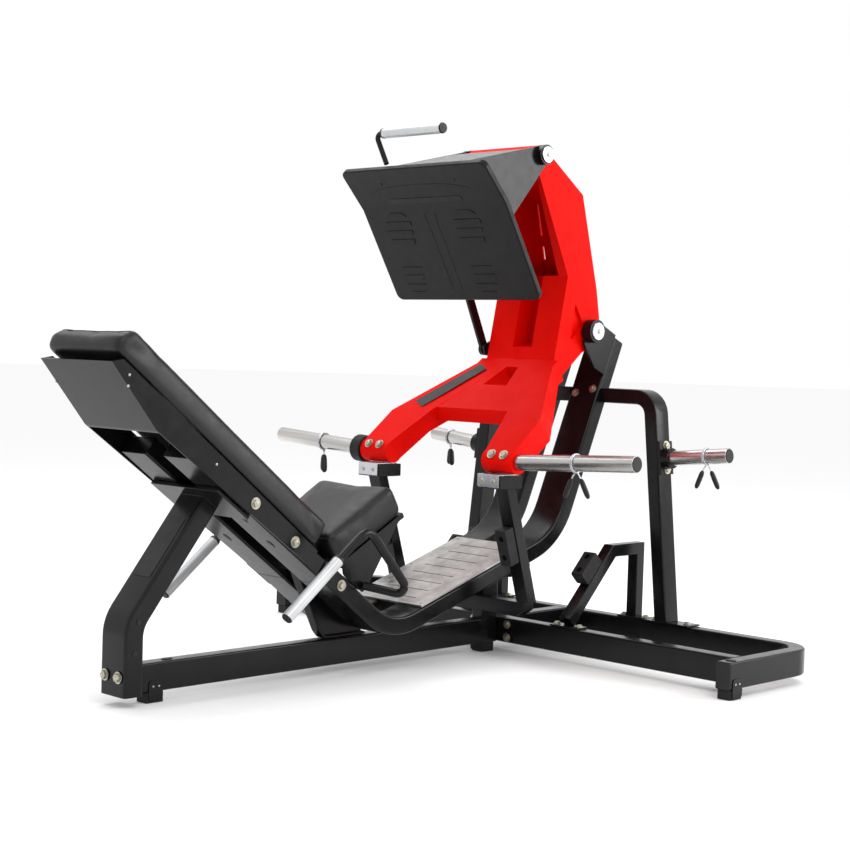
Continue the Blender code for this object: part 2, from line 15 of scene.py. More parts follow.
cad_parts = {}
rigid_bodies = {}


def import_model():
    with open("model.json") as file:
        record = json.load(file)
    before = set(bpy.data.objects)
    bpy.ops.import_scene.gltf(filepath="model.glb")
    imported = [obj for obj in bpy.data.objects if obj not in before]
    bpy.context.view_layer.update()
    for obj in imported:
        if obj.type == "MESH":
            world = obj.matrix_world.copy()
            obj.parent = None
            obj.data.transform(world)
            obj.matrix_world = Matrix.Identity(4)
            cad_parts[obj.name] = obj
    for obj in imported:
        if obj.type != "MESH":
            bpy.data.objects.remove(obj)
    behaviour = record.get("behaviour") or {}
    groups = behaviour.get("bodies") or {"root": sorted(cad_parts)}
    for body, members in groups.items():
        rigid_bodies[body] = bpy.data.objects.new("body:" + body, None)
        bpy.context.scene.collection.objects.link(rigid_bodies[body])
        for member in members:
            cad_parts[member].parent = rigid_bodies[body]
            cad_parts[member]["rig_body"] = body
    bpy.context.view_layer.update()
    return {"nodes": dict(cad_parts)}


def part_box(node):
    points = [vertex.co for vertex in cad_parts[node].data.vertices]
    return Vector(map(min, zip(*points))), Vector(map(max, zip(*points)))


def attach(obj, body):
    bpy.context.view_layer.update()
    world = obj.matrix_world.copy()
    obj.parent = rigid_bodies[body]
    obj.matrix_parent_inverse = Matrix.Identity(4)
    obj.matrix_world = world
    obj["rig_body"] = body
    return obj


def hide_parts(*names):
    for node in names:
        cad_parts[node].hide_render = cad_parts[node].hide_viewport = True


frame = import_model()
nodes = frame["nodes"]
MID = 0.92634              # the sketch starts at the rear post, the frame at the middle
SIDES = {"left": 1.0, "right": -1.0}

# %% [markdown]
# ## Where things are
# The machine is drawn from the back of its rear post. `at` moves a sketch point into the
# frame, and `tilted` walks along a slope, which suits a machine made of sloping tubes.


# %% Sketch helpers
def at(x, y, z):
    return Vector((x - MID, y, z))


def tilted(origin, slope, s, t, y=0.0):
    """s along a slope and t square to it, in the side view."""
    return at(origin[0] + s * math.cos(slope) - t * math.sin(slope), y,
              origin[1] + s * math.sin(slope) + t * math.cos(slope))


def facing(point, normal, turn=0.0):
    """A placing matrix: local Z along normal, at point."""
    aim = Vector(normal).to_track_quat("Z", "Y").to_matrix().to_4x4()
    return Matrix.Translation(point) @ aim @ Matrix.Rotation(turn, 4, "Z")


PIVOT, TOP = (1.800, 1.073), (1.530, 1.636)
BACK_SLOPE, TREAD_SLOPE = math.radians(-36.6), math.radians(18.05)
PAN_SLOPE, SEAT_SLOPE = math.atan2(-0.540, 0.692), math.radians(29.0)
HORNS = {"arm": ((1.260, 0.3370, 0.6553), (1.268, 0.784, 0.680)),
         "store": ((1.9120, 0.4425, 0.6600), (1.9180, 0.660, 0.682))}
print("main pivot at", [round(v, 3) for v in at(PIVOT[0], 0, PIVOT[1])])

# %% [markdown]
# ## Camera
# A long lens from low down at the head end of the bench, as for a catalogue. It comes first
# because the looks are judged from here.


# %% Make the camera
def make_camera():
    yaw, pitch, roll = math.radians(44.31), math.radians(2.52), math.radians(-1.77)
    ahead = Vector((math.cos(yaw) * math.cos(pitch), math.sin(yaw) * math.cos(pitch),
                    -math.sin(pitch)))
    level = Vector((math.sin(yaw), -math.cos(yaw), 0))
    down = ahead.cross(level)
    right = math.cos(roll) * level + math.sin(roll) * down
    below = math.cos(roll) * down - math.sin(roll) * level
    lens = bpy.data.cameras.new("catalogue_lens")
    lens.lens, lens.sensor_width = 72.6, 36.0
    camera = bpy.data.objects.new("catalogue_camera", lens)
    bpy.context.scene.collection.objects.link(camera)
    turn = Matrix((right, -below, -ahead)).transposed().to_4x4()
    camera.matrix_world = Matrix.Translation(at(-2.7187, -3.8110, 0.9944)) @ turn
    bpy.context.scene.camera = camera
    return camera


print("camera at", [round(v, 2) for v in make_camera().location])

# %% [markdown]
# ## Room and light
# A gym machine is shot in a white room. A wide floor and a bright world give the white
# surround, and three large soft lamps draw long highlights along the tubes.


# %% Floor, world and lamps
def soft_lamp(name, place, aim, size, power):
    light = bpy.data.lights.new(name, "AREA")
    light.shape, light.size, light.energy = "SQUARE", size, power
    lamp = bpy.data.objects.new(name, light)
    bpy.context.scene.collection.objects.link(lamp)
    lamp.location = place
    lamp.rotation_euler = (Vector(aim) - Vector(place)).to_track_quat("-Z", "Y").to_euler()


world = bpy.data.worlds.new("white_room")
bpy.context.scene.world = world
world.use_nodes = True
world.node_tree.nodes["Background"].inputs["Color"].default_value = (1.0, 1.0, 1.0, 1)
world.node_tree.nodes["Background"].inputs["Strength"].default_value = 1.0
bpy.context.scene.view_settings.view_transform = "Standard"
soft_lamp("key_lamp", (-1.5, -4.0, 4.6), (0, 0, 0.5), 2.4, 70)
soft_lamp("side_lamp", (3.4, -3.6, 2.2), (0.5, 0, 0.6), 2.4, 110)
soft_lamp("top_lamp", (0.3, 1.5, 4.5), (0, 0, 0.6), 3.0, 80)
kit = bmesh.new()
bmesh.ops.create_circle(kit, cap_ends=True, segments=64, radius=60.0)
mesh = bpy.data.meshes.new("pale_floor")
kit.to_mesh(mesh)
kit.free()
floor = bpy.data.objects.new("pale_floor", mesh)
bpy.context.scene.collection.objects.link(floor)
floor.location.z = -0.0005
print("room ready, floor radius 60 m")

# %% [markdown]
# ## Finishes
# Three small node groups are shared. `grain` is a fine bump field for orange peel, rubber
# and leather. `mottle` is a slow change that breaks up flat colour. `wipe` is long streaks
# left by brushing. Every material keeps its own Principled shader.


# %% Shared node groups
def new_group(name, values, outputs):
    group = bpy.data.node_groups.new(name, "ShaderNodeTree")
    for label, value in values.items():
        socket = group.interface.new_socket(label, in_out="INPUT",
                                            socket_type="NodeSocketFloat")
        socket.default_value = value
    for label in outputs:
        group.interface.new_socket(label, in_out="OUTPUT", socket_type="NodeSocketFloat")
    return group, group.nodes.new("NodeGroupInput"), group.nodes.new("NodeGroupOutput")


def noise_group(name, stretch, detail):
    """Noise on Object coordinates, stretched along the machine's axes."""
    group, inside, outside = new_group(name, {"Scale": 100.0, "Low": 0.0, "High": 1.0},
                                       ["Value"])
    place = group.nodes.new("ShaderNodeTexCoord")
    warp = group.nodes.new("ShaderNodeMapping")
    warp.inputs["Scale"].default_value = stretch
    noise = group.nodes.new("ShaderNodeTexNoise")
    noise.inputs["Detail"].default_value = detail
    spread = group.nodes.new("ShaderNodeMapRange")
    spread.inputs["From Min"].default_value = 0.3
    spread.inputs["From Max"].default_value = 0.7
    link = group.links.new
    link(place.outputs["Object"], warp.inputs["Vector"])
    link(warp.outputs["Vector"], noise.inputs["Vector"])
    link(inside.outputs["Scale"], noise.inputs["Scale"])
    link(noise.outputs["Fac"], spread.inputs["Value"])
    link(inside.outputs["Low"], spread.inputs["To Min"])
    link(inside.outputs["High"], spread.inputs["To Max"])
    link(spread.outputs["Result"], outside.inputs["Value"])
    return group


GRAIN = noise_group("grain", (1, 1, 1), 2.0)
MOTTLE = noise_group("mottle", (1, 1, 1), 5.0)
WIPE = noise_group("wipe_across", (1, 0.04, 1), 3.0)
WIPE_X = noise_group("wipe_along", (0.05, 1, 1), 3.0)
print("groups", [g.name for g in bpy.data.node_groups])

# %% [markdown]
# ## Materials
# One builder makes each finish: two close colours mixed by a slow pattern, a roughness that
# wanders a little, and a bump. The values differ: powder coat is glossy with orange peel,
# vinyl has a pebble grain, the tread plate is brushed and stained.


# %% Build the materials
def finish_of(name, dark, light, rough, metal=0.0, grain=(GRAIN, 900.0, 0.00004),
              pattern=(MOTTLE, 14.0), coat=0.0, shine=0.5):
    mat = bpy.data.materials.new(name)
    mat.use_nodes = True
    tree = mat.node_tree
    shader = tree.nodes["Principled BSDF"]
    shader.inputs["Metallic"].default_value = metal
    shader.inputs["Coat Weight"].default_value = coat
    shader.inputs["Coat Roughness"].default_value = 0.12
    shader.inputs["Specular IOR Level"].default_value = shine

    def field(group, scale, low, high):
        node = tree.nodes.new("ShaderNodeGroup")
        node.node_tree = group
        node.inputs["Scale"].default_value = scale
        node.inputs["Low"].default_value = low
        node.inputs["High"].default_value = high
        return node.outputs["Value"]

    mix = tree.nodes.new("ShaderNodeMix")
    mix.data_type = "RGBA"
    mix.inputs["A"].default_value = (*dark, 1)
    mix.inputs["B"].default_value = (*light, 1)
    tree.links.new(field(*pattern, 0.0, 1.0), mix.inputs["Factor"])
    tree.links.new(mix.outputs["Result"], shader.inputs["Base Color"])
    tree.links.new(field(pattern[0], pattern[1] * 2.3, *rough), shader.inputs["Roughness"])
    bump = tree.nodes.new("ShaderNodeBump")
    bump.inputs["Distance"].default_value = grain[2]
    bump.inputs["Strength"].default_value = 1.0
    tree.links.new(field(grain[0], grain[1], 0.0, 1.0), bump.inputs["Height"])
    tree.links.new(bump.outputs["Normal"], shader.inputs["Normal"])
    return mat


LOOKS = {
    "black_coat": finish_of("black_powder_coat", (0.0030, 0.0030, 0.0034),
                            (0.0055, 0.0055, 0.0062),
                            (0.16, 0.26), coat=0.04, shine=0.20),
    "red_coat": finish_of("red_powder_coat", (0.66, 0.0015, 0.0), (0.72, 0.0030, 0.0002),
                          (0.42, 0.52), shine=0.04),
    "vinyl": finish_of("upholstery_vinyl", (0.0040, 0.0040, 0.0045), (0.0070, 0.0070, 0.0080),
                       (0.34, 0.44), grain=(GRAIN, 420.0, 0.00018), shine=0.34),
    "thread": finish_of("seam_thread", (0.0040, 0.0040, 0.0045), (0.0080, 0.0080, 0.0090),
                        (0.40, 0.50), shine=0.3),
    "rubber": finish_of("black_rubber", (0.0050, 0.0050, 0.0050), (0.0090, 0.0090, 0.0095),
                        (0.55, 0.70), grain=(GRAIN, 500.0, 0.00012), shine=0.3),
    "moulded": finish_of("moulded_footplate", (0.0020, 0.0018, 0.0020),
                         (0.0035, 0.0032, 0.0036),
                         (0.36, 0.46), grain=(GRAIN, 700.0, 0.00008), shine=0.2),
    "horn": finish_of("satin_chrome", (0.42, 0.41, 0.40), (0.62, 0.60, 0.58), (0.20, 0.32),
                      metal=1.0, grain=(WIPE, 260.0, 0.00003), pattern=(WIPE, 40.0)),
    "tread": finish_of("stained_stainless", (0.34, 0.33, 0.32), (0.56, 0.55, 0.54),
                       (0.30, 0.55), metal=0.85, grain=(WIPE, 180.0, 0.00006),
                       pattern=(MOTTLE, 22.0)),
    "grip": finish_of("silver_grip", (0.50, 0.51, 0.52), (0.60, 0.61, 0.62), (0.30, 0.42),
                      metal=0.35),
    "cap": finish_of("polished_cap", (0.46, 0.47, 0.50), (0.60, 0.61, 0.65), (0.22, 0.30),
                     metal=0.9),
    "bolt": finish_of("zinc_bolt", (0.34, 0.32, 0.25), (0.52, 0.50, 0.42), (0.25, 0.42),
                      metal=1.0, pattern=(MOTTLE, 160.0)),
    "plug": finish_of("black_plastic", (0.0045, 0.0045, 0.0045), (0.0080, 0.0080, 0.0080),
                      (0.38, 0.50), shine=0.3),
    "plate": finish_of("blank_plate", (0.010, 0.010, 0.011), (0.016, 0.016, 0.017),
                       (0.45, 0.55), shine=0.3),
    "floor": finish_of("floor_white", (0.94, 0.94, 0.94), (0.96, 0.96, 0.96), (0.8, 0.9),
                       shine=0.0),
}
floor.data.materials.append(LOOKS["floor"])
print("materials", len(LOOKS))

# %% [markdown]
# ## Welded steel with softened edges
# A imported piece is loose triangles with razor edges. Real folded and welded steel has small
# radii that catch the light, so each hard piece gets a copy: its doubles are merged, flat
# faces joined, and every sharp edge bevelled. Weighted normals keep the flats flat.


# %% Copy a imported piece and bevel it
def new_piece(name, mesh_kit, look, body, replaced=()):
    """Turn a bmesh into a finished piece that rides on a body."""
    mesh = bpy.data.meshes.new(name)
    mesh_kit.to_mesh(mesh)
    mesh_kit.free()
    piece = bpy.data.objects.new(name, mesh)
    bpy.context.scene.collection.objects.link(piece)
    mesh.materials.append(LOOKS[look])
    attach(piece, body)
    if replaced:
        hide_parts(*replaced)
    return piece


def even_light(piece):
    step = piece.modifiers.new("even_light", "WEIGHTED_NORMAL")
    step.keep_sharp = True
    return piece


def merged_copy(node):
    kit = bmesh.new()
    kit.from_mesh(nodes[node].data)
    bmesh.ops.remove_doubles(kit, verts=kit.verts, dist=0.00001)
    bmesh.ops.dissolve_limit(kit, angle_limit=math.radians(0.6), verts=kit.verts,
                             edges=kit.edges)
    return kit


def soften(kit, width, steps=2, angle=34):
    sharp = [e for e in kit.edges
             if len(e.link_faces) == 2 and e.calc_face_angle() > math.radians(angle)]
    bmesh.ops.bevel(kit, geom=sharp, offset=width, offset_type="OFFSET", affect="EDGES",
                    segments=steps, profile=0.5, clamp_overlap=True, material=-1)
    for face in kit.faces:
        face.smooth = True
    return kit


def refine(node, look, width=0.0015, steps=2, angle=34, kit=None):
    kit = soften(kit or merged_copy(node), width, steps, angle)
    body = nodes[node]["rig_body"]
    return even_light(new_piece(node + "_finished", kit, look, body, (node,)))


STEEL = [n for n in nodes if n.startswith((
    "base_", "crossbar", "centre_", "loop_", "rear_post", "hub_", "cross_member", "main_rail",
    "back_rail", "upright_tie", "back_pan", "seat_frame", "bench_support", "seat_handle",
    "stop_post", "bumper_frame", "storage_post", "pivot_bracket", "carriage",
    "footplate_handle", "link_rod"))]
for name in STEEL:
    refine(name, "black_coat", 0.0018 if "rail" in name or "tube" in name else 0.0012)
refine("press_arm", "red_coat", 0.0022, 2)
print("softened", len(STEEL) + 1, "steel pieces")

# %% [markdown]
# ## Bolts, washers, plugs and screws
# Fasteners are small but the eye looks for them. One helper drops a hex bolt on a washer at
# any point and direction into a shared mesh, so each body gets one mesh of bolts.


# %% Fastener helpers
def disc(kit, point, normal, radius, height, segments=24, top=1.0, turn=0.0):
    made = bmesh.ops.create_cone(kit, cap_ends=True, segments=segments, radius1=radius,
                                 radius2=radius * top, depth=height,
                                 matrix=facing(Vector(point) + Vector(normal).normalized()
                                               * (height / 2), normal, turn))
    return made["verts"]


def hex_bolt(kit, point, normal, size=0.0085):
    step = Vector(normal).normalized()
    disc(kit, point, step, size * 1.60, 0.0018)
    disc(kit, Vector(point) + step * 0.0018, step, size * 1.16, size * 0.70, 6, 0.95, 0.4)
    disc(kit, Vector(point) + step * (0.0018 + size * 0.70), step, size * 0.62, 0.0010, 16, 0.8)


def button_bolt(kit, point, normal, size=0.008):
    step = Vector(normal).normalized()
    ball = bmesh.ops.create_uvsphere(kit, u_segments=20, v_segments=10, radius=size)["verts"]
    bmesh.ops.scale(kit, vec=(1, 1, 0.5), verts=ball)
    bmesh.ops.transform(kit, matrix=facing(Vector(point), step), verts=ball)
    disc(kit, Vector(point) + step * size * 0.44, step, size * 0.42, 0.0009, 6)


def smooth_sharp(kit, angle=40):
    for face in kit.faces:
        face.smooth = True
    for edge in kit.edges:
        if len(edge.link_faces) == 2 and edge.calc_face_angle() > math.radians(angle):
            edge.smooth = False


def fit(name, kit, look, body):
    smooth_sharp(kit)
    return new_piece(name, kit, look, body)


# %% [markdown]
# ## Bolt up the frame
# The rails are spliced below the bench, the pan is bolted to the back rails, the post to the
# beam, and the bumpers and storage posts to the loop.

# %% Frame fasteners
RAIL_JOINT = (0.655, 0.3229)       # where the back rails meet the main rails
PAN_HEAD = (-0.1010, 0.9460)       # head end of the back pan
PLATE_TOP = 0.1180                 # top of the foot plates on the base
kit = bmesh.new()
for way in SIDES.values():
    side = Vector((0, way, 0))
    for s in (-0.030, 0.042):      # splice plates
        hex_bolt(kit, tilted(RAIL_JOINT, BACK_SLOPE, s, 0.0, way * 0.1630), side, 0.0105)
    for s in (0.600, 0.790):       # pan to rails
        hex_bolt(kit, tilted(PAN_HEAD, PAN_SLOPE, s, -0.030, way * 0.1640), side, 0.0105)
    for s, t in ((0.040, -0.020), (0.055, -0.045), (0.420, -0.028)):
        point = tilted(PAN_HEAD, PAN_SLOPE, s, t, way * 0.1640)
        button_bolt(kit, point, side, 0.0042)
    for z in (0.093, 0.050):       # fish plates
        hex_bolt(kit, at(1.5270, way * 0.0750, z), (-1, 0, 0), 0.0095)
    for y in (0.262, 0.354):       # bumper frames
        for x in (1.5610, 1.9140):
            hex_bolt(kit, at(x, way * y, PLATE_TOP), (0, 0, 1), 0.0080)
    for y in (0.395, 0.525):       # storage posts
        hex_bolt(kit, at(1.9120, way * y, PLATE_TOP), (0, 0, 1), 0.0085)
    hex_bolt(kit, at(0.0, way * 0.0300, 0.085), (-1, 0, 0), 0.0105)
    for y, z in ((0.063, 0.852), (0.133, 0.868)):    # fronts of the uprights
        point = at(1.8550 + (z - 0.85) * 0.43, way * y, z + 0.010)
        hex_bolt(kit, point, (-0.917, 0, 0.399), 0.0095)
    for z in (0.622, 0.700):
        hex_bolt(kit, at(1.9120, way * (0.4160 - 0.104 * (z - 0.66)), z),
                 (0, way, 0.104), 0.0100)
    for y in (0.245, 0.290):
        button_bolt(kit, at(1.1955, way * y, 0.5950), (-1, 0, 0), 0.0075)
fit("frame_bolts", kit, "bolt", "frame")

kit = bmesh.new()
for way in SIDES.values():
    for y in (0.2500, 0.3000):
        point = at(1.2600, way * y, 0.6550) + Vector((-0.0310, 0, 0.0222))
        hex_bolt(kit, point, (-0.81, 0, 0.58), 0.0100)
fit("arm_set_bolts", kit, "bolt", "arm")
print("bolts fitted on the frame and the arm")

# %% [markdown]
# ## Plates, plugs and brackets
# Thin parts that the node budget left out: splice plates, fish plates, brackets around the
# feet, oval plugs in the tubes, blank label plates where makers put their names.


# %% Thin plates
def plate(kit, corners, push, round_by=0.004):
    """A flat plate from its corner points, pushed out to a thickness, edges softened."""
    face = kit.faces.new([kit.verts.new(c) for c in corners])
    made = bmesh.ops.extrude_face_region(kit, geom=[face])
    moved = [g for g in made["geom"] if isinstance(g, bmesh.types.BMVert)]
    bmesh.ops.translate(kit, vec=push, verts=moved)
    verts = set(moved) | set(face.verts)
    upright = [e for e in kit.edges if e.verts[0] in verts and e.verts[1] in verts
               and abs((e.verts[0].co - e.verts[1].co).normalized().dot(
                   Vector(push).normalized())) > 0.99]
    bmesh.ops.bevel(kit, geom=upright, offset=round_by, offset_type="OFFSET", affect="EDGES",
                    segments=4, profile=0.5, clamp_overlap=True, material=-1)


EAR = ((-0.024, 0.004), (0.024, 0.004), (0.024, 0.062), (-0.024, 0.062))
EAR_T = 0.0026             # foot bracket: half width and height above, thickness here
kit = bmesh.new()
for way in SIDES.values():
    lap = [tilted(RAIL_JOINT, BACK_SLOPE, s, t, way * 0.1582)
           for s, t in ((-0.052, -0.026), (0.066, -0.026), (0.066, 0.026), (-0.052, 0.026))]
    plate(kit, lap, (0, way * 0.0048, 0))
    fish = [at(1.5346, way * y, z) for y, z in ((0.030, 0.036), (0.092, 0.036),
                                               (0.092, 0.112), (0.030, 0.112))]
    plate(kit, fish, (-0.0045, 0, 0))
    for x, y in ((1.490, 1.0082), (0.130, 0.0252)):
        ear = [at(x + a, way * y, z) for a, z in EAR]
        plate(kit, ear, (0, way * EAR_T, 0), 0.010)
    far_ear = [at(1.8882, way * (0.320 + a), z) for a, z in EAR]
    plate(kit, far_ear, (-EAR_T, 0, 0), 0.010)
    hub_ear = [at(1.4598, way * max(a, 0.0), z) for a, z in EAR]
    plate(kit, hub_ear, (-EAR_T, 0, 0), 0.008)
bmesh.ops.recalc_face_normals(kit, faces=kit.faces)
soften(kit, 0.0005, 1)
even_light(new_piece("splice_and_foot_plates", kit, "black_coat", "frame"))

kit = bmesh.new()
for way in SIDES.values():
    for dx in (-0.010, 0.010):
        button_bolt(kit, at(1.490 + dx, way * 1.0106, 0.046), (0, way, 0), 0.0032)
        button_bolt(kit, at(0.130 + dx, way * 0.0278, 0.046), (0, way, 0), 0.0032)
        button_bolt(kit, at(1.8856, way * 0.320 + dx, 0.046), (-1, 0, 0), 0.0032)
fit("foot_screws", kit, "bolt", "frame")


# %% [markdown]
# Plugs close the tubes. An oval plug is a short cylinder stretched before its rim is
# rounded, and the open ends of the loop get square caps with a thin lip.

# %% Plugs and end caps
def oval_plug(kit, point, normal, along, long=0.019, wide=0.011, height=0.0025):
    made = disc(kit, (0, 0, 0), (0, 0, 1), wide, height, 28, 0.86)
    bmesh.ops.scale(kit, vec=(long / wide, 1, 1), verts=made)
    z = Vector(normal).normalized()
    x = (Vector(along) - z * Vector(along).dot(z)).normalized()
    turn = Matrix((x, z.cross(x), z)).transposed().to_4x4()
    bmesh.ops.transform(kit, matrix=Matrix.Translation(point) @ turn, verts=made)


TOP_SLOPE = math.radians(66.5)     # the uprights at their top ends
kit = bmesh.new()
for way in SIDES.values():
    oval_plug(kit, at(1.492, way * 0.9825, 0.1120), (0, 0, 1), (0, 1, 0))
    cap = [at(1.4568, way * (0.9825 + a), b) for a, b in ((-0.0250, 0.0305), (0.0250, 0.0305),
                                                         (0.0250, 0.1115), (-0.0250, 0.1115))]
    plate(kit, cap, (-0.0030, 0, 0), 0.005)
    for x, z in ((0.034, 0.150), (0.0445, 0.235)):
        disc(kit, at(x, way * 0.0570, z), (0, way, 0), 0.0070, 0.0018)
    for s in (0.300, 0.430):
        point = tilted((0.1412, 0.7045), BACK_SLOPE, s, -0.0280, way * 0.098)
        oval_plug(kit, point, (-0.596, 0, -0.803), (0.803, 0, -0.596), 0.020, 0.011, 0.0012)
    top_cap = [tilted((1.9650, 1.0430), TOP_SLOPE, 0.0, t, way * y)
               for y, t in ((0.0405, -0.0260), (0.1555, -0.0260), (0.1555, 0.0260),
                            (0.0405, 0.0260))]
    plate(kit, top_cap, (0.0030 * math.cos(TOP_SLOPE), 0, 0.0030 * math.sin(TOP_SLOPE)), 0.006)
oval_plug(kit, at(0.185, 0, 0.1120), (0, 0, 1), (1, 0, 0))
bmesh.ops.recalc_face_normals(kit, faces=kit.faces)
fit("tube_plugs", kit, "plug", "frame")

kit = bmesh.new()
post_slope = math.atan2(0.5505 - 0.225, 0.2845 - 0.034)
label = [tilted((0.034, 0.225), post_slope, s, 0.0318, y)
         for s, y in ((0.135, -0.038), (0.330, -0.038), (0.330, 0.038), (0.135, 0.038))]
plate(kit, label, tilted((0, 0), post_slope, 0, 0.0012) - at(0, 0, 0), 0.003)
bmesh.ops.recalc_face_normals(kit, faces=kit.faces)
fit("blank_post_plate", kit, "plate", "frame")

kit = bmesh.new()
strip = [at(1.415, 0.270, 0.8165), at(1.596, 0.141, 0.9475), at(1.576, 0.097, 0.9330),
         at(1.391, 0.216, 0.7995)]
lift = (strip[1] - strip[0]).cross(strip[3] - strip[0]).normalized()
lift *= math.copysign(1.0, lift.z)
plate(kit, [p + lift * 0.004 for p in strip], lift * 0.0010, 0.001)
bmesh.ops.recalc_face_normals(kit, faces=kit.faces)
fit("blank_arm_strip", kit, "plate", "arm")
print("plates, plugs and blank labels in place")

# %% [markdown]
# ## Cushions
# Upholstery is foam under a stretched cover. Each cushion starts as a slightly smaller copy
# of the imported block, is rebuilt as an even skin, and is then blown up a little by a cloth
# pressure run. The face on the board stays pinned, and no point may travel far.


# %% Inflate a cushion
def baked(obj):
    """Swap an object's mesh for what its modifiers make of it."""
    graph = bpy.context.evaluated_depsgraph_get()
    made = bpy.data.meshes.new_from_object(obj.evaluated_get(graph))
    obj.modifiers.clear()
    old, obj.data = obj.data, made
    bpy.data.meshes.remove(old)
    return obj


def refit(piece, packed, slope):
    """Stretch a settled cushion back to its packed length, width and height."""
    along = tilted((0, 0), slope, 1.0, 0.0) - at(0, 0, 0)
    out = tilted((0, 0), slope, 0.0, 1.0) - at(0, 0, 0)
    for axis in (along, out, Vector((0, 1, 0))):
        goal = [v.co.dot(axis) for v in packed.data.vertices]
        have = [v.co.dot(axis) for v in piece.data.vertices]
        low, high = min(have), max(have)
        scale = (max(goal) - min(goal)) / (high - low)
        for vert, reach in zip(piece.data.vertices, have):
            vert.co += axis * (min(goal) + (reach - low) * scale - reach)


def cushion(node, origin, slope, shrink=0.003, cap=0.008, force=4.0):
    kit = merged_copy(node)
    low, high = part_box(node)
    middle = (low + high) / 2
    out = tilted((0, 0), slope, 0.0, 1.0) - at(0, 0, 0)
    base = tilted(origin, slope, 0.0, 0.006)
    long = max(high.x - low.x, high.z - low.z) / 2
    for vert in kit.verts:
        lift = (vert.co - base).dot(out)
        away = vert.co - middle
        if lift > 0.0:
            vert.co -= out * shrink
        vert.co.y -= math.copysign(shrink, away.y)
        vert.co -= away.normalized() * shrink * min(1.0, away.length / long) * 0.5
    mesh = bpy.data.meshes.new(node + "_sewn")
    kit.to_mesh(mesh)
    kit.free()
    piece = bpy.data.objects.new(node + "_sewn", mesh)
    bpy.context.scene.collection.objects.link(piece)
    skin = piece.modifiers.new("skin", "REMESH")
    skin.mode, skin.voxel_size = "VOXEL", 0.0068
    relax = piece.modifiers.new("relax", "SMOOTH")
    relax.factor, relax.iterations = 0.5, 4
    baked(piece)
    start = [v.co.copy() for v in piece.data.vertices]
    held = piece.vertex_groups.new(name="board")
    held.add([v.index for v in piece.data.vertices if (v.co - base).dot(out) < 0.006],
             1.0, "REPLACE")
    cloth = piece.modifiers.new("stuffing", "CLOTH")
    cloth.settings.quality = 5
    cloth.settings.mass = 0.3
    cloth.settings.tension_stiffness = 30
    cloth.settings.compression_stiffness = 30
    cloth.settings.bending_stiffness = 4
    cloth.settings.use_pressure = True
    cloth.settings.uniform_pressure_force = force
    cloth.settings.effector_weights.gravity = 0
    cloth.settings.vertex_group_mass = "board"
    cloth.collision_settings.use_collision = False
    cloth.point_cache.frame_start, cloth.point_cache.frame_end = 1, 20
    for moment in range(1, 21):
        bpy.context.scene.frame_set(moment)
    baked(piece)
    piece.vertex_groups.clear()
    for vert, rest in zip(piece.data.vertices, start):
        move = (vert.co - rest) * 0.35
        if move.length > cap:
            move = move.normalized() * cap
        vert.co = rest + move
    bpy.context.scene.frame_set(1)
    smooth = piece.modifiers.new("settle", "SMOOTH")
    smooth.factor, smooth.iterations = 0.5, 9
    finer = piece.modifiers.new("finer", "SUBSURF")
    finer.levels = finer.render_levels = 1
    baked(piece)
    refit(piece, nodes[node], slope)
    for face in piece.data.polygons:
        face.use_smooth = True
    piece.data.materials.clear()
    piece.data.materials.append(LOOKS["vinyl"])
    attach(piece, "frame")
    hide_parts(node)
    moved = max((v.co - middle).length for v in piece.data.vertices)
    print(node, "vertices", len(piece.data.vertices), "reach", round(moved, 3))
    return piece


back = cushion("backrest_cushion", (-0.1010, 0.9470), PAN_SLOPE)
seat = cushion("seat_cushion", (0.7040, 0.3640), SEAT_SLOPE)

# %% [markdown]
# ## Seams
# A thin welt runs round the top edge of each cushion, where the top panel meets the border.
# It is laid on the finished skin: each point of the path is dropped to the nearest surface.


# %% Piping along a path
def wire(kit, points, radius, closed=False, sides=4):
    """A round wire along points, added to a mesh."""
    line = bpy.data.curves.new("line", "CURVE")
    line.dimensions, line.bevel_depth, line.bevel_resolution = "3D", radius, sides
    line.use_fill_caps = not closed
    spline = line.splines.new("POLY")
    spline.points.add(len(points) - 1)
    for spot, point in zip(spline.points, points):
        spot.co = (*point, 1.0)
    spline.use_cyclic_u = closed
    holder = bpy.data.objects.new("line", line)
    bpy.context.scene.collection.objects.link(holder)
    bpy.context.view_layer.update()
    made = bpy.data.meshes.new_from_object(
        holder.evaluated_get(bpy.context.evaluated_depsgraph_get()))
    kit.from_mesh(made)
    bpy.data.objects.remove(holder)
    bpy.data.curves.remove(line)
    bpy.data.meshes.remove(made)


def smooth_line(points, rounds=2, closed=True):
    """Cut corners until a polyline flows."""
    for _ in range(rounds):
        count = len(points)
        fresh = []
        for i in range(count if closed else count - 1):
            a, b = points[i], points[(i + 1) % count]
            fresh += [a.lerp(b, 0.25), a.lerp(b, 0.75)]
        points = fresh if closed else [points[0], *fresh, points[-1]]
    return points


